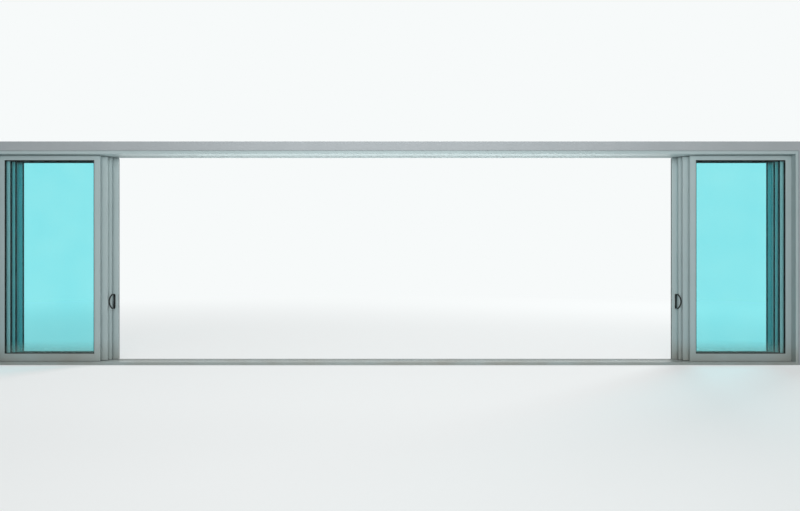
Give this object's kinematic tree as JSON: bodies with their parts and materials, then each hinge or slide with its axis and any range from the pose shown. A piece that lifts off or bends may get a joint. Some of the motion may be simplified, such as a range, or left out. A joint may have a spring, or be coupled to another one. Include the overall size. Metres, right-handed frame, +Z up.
{
  "type": "stacking sliding glass door wall",
  "caption": "Wide white doorway whose tall tinted glass panels slide on parallel tracks and park in a stack at each side, set in a strip of plastered wall",
  "frame": {"origin": "middle of the base, on the floor", "axes": "+X along the wall to the right seen from the room, +Y to the outside, +Z up"},
  "size_m": [12, 0.352, 3.21],
  "materials": {
    "white_frame": "satin white powder coat",
    "plaster": "smooth painted plaster",
    "tinted_glass": "clear with a blue-green tint",
    "black_rubber": "matt",
    "stainless_steel": "brushed",
    "black_metal": "satin black powder coat"
  },
  "bodies": {
    "doorway": {"wall_lintel": "plaster", "wall_pier_left": "plaster", "wall_pier_right": "plaster", "head_casing": "white_frame", "jamb_casing_left": "white_frame", "jamb_casing_right": "white_frame", "head_track": "white_frame", "jamb_left": "white_frame", "jamb_right": "white_frame", "sill_track": "white_frame", "sill_rails": "stainless_steel", "panel_left_1": "white_frame", "glass_left_1": "tinted_glass", "seal_left_1": "black_rubber", "panel_right_1": "white_frame", "glass_right_1": "tinted_glass", "seal_right_1": "black_rubber"},
    "left_panel_2": {"panel_left_2": "white_frame", "glass_left_2": "tinted_glass", "seal_left_2": "black_rubber", "rollers_left_2": "stainless_steel"},
    "left_panel_3": {"panel_left_3": "white_frame", "glass_left_3": "tinted_glass", "seal_left_3": "black_rubber", "rollers_left_3": "stainless_steel"},
    "left_panel_4": {"panel_left_4": "white_frame", "glass_left_4": "tinted_glass", "seal_left_4": "black_rubber", "rollers_left_4": "stainless_steel", "pull_left": "black_metal", "flush_pull_left": "black_metal"},
    "right_panel_2": {"panel_right_2": "white_frame", "glass_right_2": "tinted_glass", "seal_right_2": "black_rubber", "rollers_right_2": "stainless_steel"},
    "right_panel_3": {"panel_right_3": "white_frame", "glass_right_3": "tinted_glass", "seal_right_3": "black_rubber", "rollers_right_3": "stainless_steel"},
    "right_panel_4": {"panel_right_4": "white_frame", "glass_right_4": "tinted_glass", "seal_right_4": "black_rubber", "rollers_right_4": "stainless_steel", "pull_right": "black_metal", "flush_pull_right": "black_metal"}
  },
  "joints": [
    {"name": "left_slide_4", "type": "slide", "parent": "doorway", "child": "left_panel_4", "axis": [1, 0, 0], "range_m": [0, 4.09575]},
    {"name": "left_slide_3", "type": "slide", "parent": "doorway", "child": "left_panel_3", "axis": [1, 0, 0], "range_m": [0, 2.7425]},
    {"name": "left_slide_2", "type": "slide", "parent": "doorway", "child": "left_panel_2", "axis": [1, 0, 0], "range_m": [0, 1.35225]},
    {"name": "right_slide_4", "type": "slide", "parent": "doorway", "child": "right_panel_4", "axis": [-1, 0, 0], "range_m": [0, 4.09575]},
    {"name": "right_slide_3", "type": "slide", "parent": "doorway", "child": "right_panel_3", "axis": [-1, 0, 0], "range_m": [0, 2.7425]},
    {"name": "right_slide_2", "type": "slide", "parent": "doorway", "child": "right_panel_2", "axis": [-1, 0, 0], "range_m": [0, 1.35225]}
  ],
  "couplings": [
    {"joint": "left_slide_3", "follows": "left_slide_4", "ratio": 0.66959},
    {"joint": "left_slide_2", "follows": "left_slide_4", "ratio": 0.33015},
    {"joint": "right_slide_3", "follows": "right_slide_4", "ratio": 0.66959},
    {"joint": "right_slide_2", "follows": "right_slide_4", "ratio": 0.33015}
  ]
}
